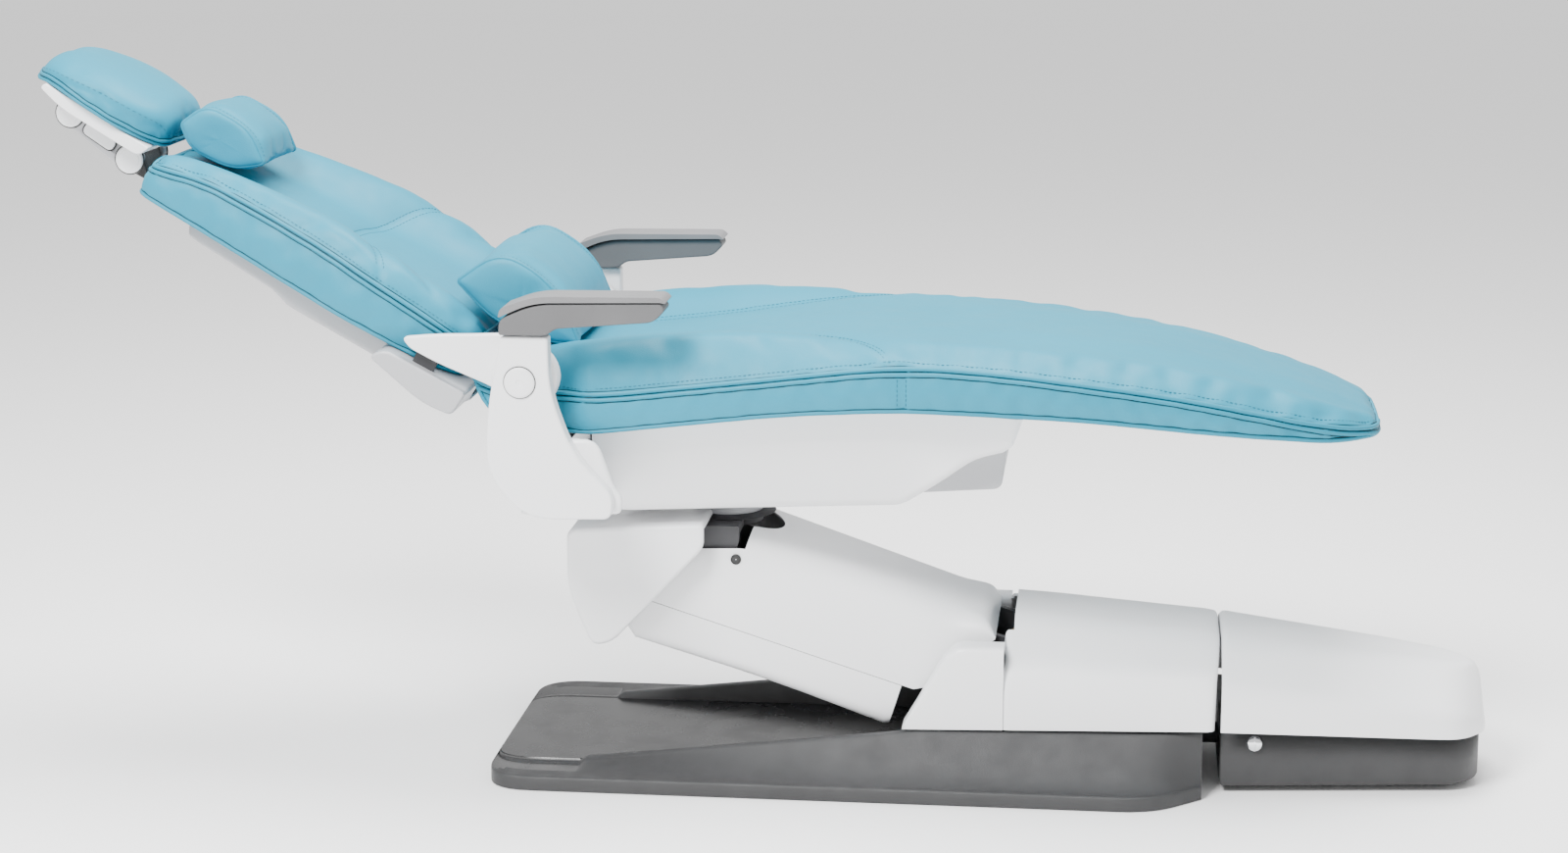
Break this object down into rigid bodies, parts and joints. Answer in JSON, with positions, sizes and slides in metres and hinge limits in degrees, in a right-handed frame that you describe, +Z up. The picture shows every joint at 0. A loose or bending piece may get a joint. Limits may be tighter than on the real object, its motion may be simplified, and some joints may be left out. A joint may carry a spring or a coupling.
{
  "type": "dental chair",
  "caption": "Powered dental treatment chair on a floor plate: parallel-arm lift, swivelling seat, reclining back, double-hinged headrest, swing-out armrests and a service box.",
  "frame": {"origin": "middle of the floor plate, on its underside", "axes": "+X towards the sitter's feet, +Y towards the sitter's left, +Z up"},
  "size_m": [2.0705, 0.64, 1.0046],
  "materials": {
    "vinyl": "satin",
    "cover_white": "satin",
    "shell_grey": "satin",
    "armrest_grey": "matte",
    "skirt_dark": "fine grain",
    "frame_dark": "powder coat",
    "steel": "turned",
    "chrome": "polished",
    "bronze": "machined",
    "black_plastic": "matte",
    "hose_black": "matte",
    "handle_blue": "gloss",
    "button_white": "satin"
  },
  "bodies": {
    "base": {"floor_plate": "frame_dark", "base_skirt": "skirt_dark", "pivot_stand": "frame_dark", "base_pins": "steel", "rear_housing": "cover_white", "pump_unit": "steel", "lift_cylinder": "black_plastic", "box_tray": "skirt_dark", "box_cover": "cover_white", "box_feet": "hose_black", "power_supply": "steel", "valve_bodies": "bronze", "service_hose": "hose_black"},
    "lift_rod": {"lift_rod": "steel"},
    "latch": {"box_latch": "chrome"},
    "water_valve": {"water_valve_handle": "handle_blue"},
    "air_valve": {"air_valve_handle": "handle_blue"},
    "arm": {"lift_arm": "frame_dark", "arm_bushes": "bronze", "yoke_pin": "steel", "arm_top_cover": "cover_white", "arm_under_cover": "cover_white"},
    "link": {"parallel_link": "frame_dark"},
    "carriage": {"carriage": "frame_dark", "carriage_pins": "steel", "carriage_shroud": "cover_white", "swivel_post": "steel"},
    "chair": {"swivel_hub": "frame_dark", "swivel_bush": "bronze", "swivel_collar": "shell_grey", "seat_frame": "frame_dark", "seat_shell": "cover_white", "seat_pan": "shell_grey", "leg_board": "frame_dark", "seat_cushion": "vinyl", "side_arm_left": "cover_white", "side_arm_right": "cover_white", "hinge_pins": "steel", "hinge_caps": "cover_white", "armrest_pins": "steel", "recline_cylinder": "black_plastic"},
    "recline_rod": {"recline_rod": "steel"},
    "left_armrest": {"left_arm_base": "armrest_grey", "left_arm_pad": "armrest_grey"},
    "right_armrest": {"right_arm_base": "armrest_grey", "right_arm_pad": "armrest_grey"},
    "back": {"back_arm_left": "cover_white", "back_arm_right": "cover_white", "recline_shaft": "steel", "back_frame": "frame_dark", "back_shell": "shell_grey", "back_cushion": "vinyl", "headrest_guide": "black_plastic"},
    "lumbar": {"lumbar_pillow": "vinyl"},
    "head_bar": {"headrest_bar": "black_plastic"},
    "neck": {"neck_pillow": "vinyl"},
    "head_link": {"headrest_link": "shell_grey"},
    "head_button": {"headrest_button": "button_white"},
    "head": {"headrest_shell": "cover_white", "headrest_cushion": "vinyl"}
  },
  "joints": [
    {"name": "lift", "type": "hinge", "parent": "base", "child": "arm", "pos_m": [0.245, 0, 0.15], "axis": [0, 1, 0], "range_deg": [-14, 12]},
    {"name": "carriage_level", "type": "hinge", "parent": "arm", "child": "carriage", "pos_m": [-0.23186, 0, 0.30035], "axis": [0, 1, 0], "range_deg": [-12, 14]},
    {"name": "link_turn", "type": "hinge", "parent": "base", "child": "link", "pos_m": [0.245, 0, 0.065], "axis": [0, 1, 0], "range_deg": [-14, 12]},
    {"name": "lift_rod_slide", "type": "slide", "parent": "base", "child": "lift_rod", "axis": [-1, 0, 0], "range_m": [-0.0195, 0.0167]},
    {"name": "swivel", "type": "hinge", "parent": "carriage", "child": "chair", "pos_m": [-0.178, 0, 0.4], "axis": [0, 0, 1], "range_deg": [-30, 30]},
    {"name": "back_recline", "type": "hinge", "parent": "chair", "child": "back", "pos_m": [-0.422, 0, 0.601], "axis": [0, 1, 0], "range_deg": [-26, 39]},
    {"name": "recline_rod_slide", "type": "slide", "parent": "chair", "child": "recline_rod", "axis": [-1, 0, 0], "range_m": [-0.053, 0.0795]},
    {"name": "lumbar_slide", "type": "slide", "parent": "back", "child": "lumbar", "axis": [-0.8829, 0, 0.4695], "range_m": [-0.034, 0.05]},
    {"name": "headrest_slide", "type": "slide", "parent": "back", "child": "head_bar", "axis": [-0.8829, 0, 0.4695], "range_m": [-0.01, 0.11]},
    {"name": "headrest_lower_tilt", "type": "hinge", "parent": "head_bar", "child": "head_link", "pos_m": [-1.036, 0, 0.863], "axis": [0, 1, 0], "range_deg": [-24, 12]},
    {"name": "neck_slide", "type": "slide", "parent": "head_bar", "child": "neck", "axis": [-0.8829, 0, 0.4695], "range_m": [-0.024, 0.046]},
    {"name": "headrest_upper_tilt", "type": "hinge", "parent": "head_link", "child": "head", "pos_m": [-1.12079, 0, 0.92864], "axis": [0, 1, 0], "range_deg": [-35, 0]},
    {"name": "headrest_button_press", "type": "slide", "parent": "head_link", "child": "head_button", "axis": [0, 1, 0], "range_m": [0, 0.004], "stiffness_N_per_m": 400, "springref_m": -0.002},
    {"name": "left_arm_swing", "type": "hinge", "parent": "chair", "child": "left_armrest", "pos_m": [-0.416, 0.299, 0.66], "axis": [0, 0, 1], "range_deg": [0, 90]},
    {"name": "right_arm_swing", "type": "hinge", "parent": "chair", "child": "right_armrest", "pos_m": [-0.416, -0.299, 0.66], "axis": [0, 0, 1], "range_deg": [-90, 0]},
    {"name": "latch_turn", "type": "hinge", "parent": "base", "child": "latch", "pos_m": [0.581, -0.13, 0.072], "axis": [0, 1, 0], "range_deg": [0, 90]},
    {"name": "water_valve_turn", "type": "hinge", "parent": "base", "child": "water_valve", "pos_m": [0.78, -0.038, 0.06], "axis": [0, 0, 1], "range_deg": [0, 90]},
    {"name": "air_valve_turn", "type": "hinge", "parent": "base", "child": "air_valve", "pos_m": [0.78, 0.038, 0.06], "axis": [0, 0, 1], "range_deg": [0, 90]}
  ],
  "couplings": [
    {"joint": "carriage_level", "follows": "lift", "ratio": -1},
    {"joint": "link_turn", "follows": "lift", "ratio": 1},
    {"joint": "lift_rod_slide", "follows": "lift", "m_per_rad": 0.0782},
    {"joint": "recline_rod_slide", "follows": "back_recline", "m_per_rad": 0.116},
    {"joint": "lumbar_slide", "follows": "back_recline", "m_per_rad": 0.073},
    {"joint": "neck_slide", "follows": "headrest_lower_tilt", "m_per_rad": -0.105}
  ]
}
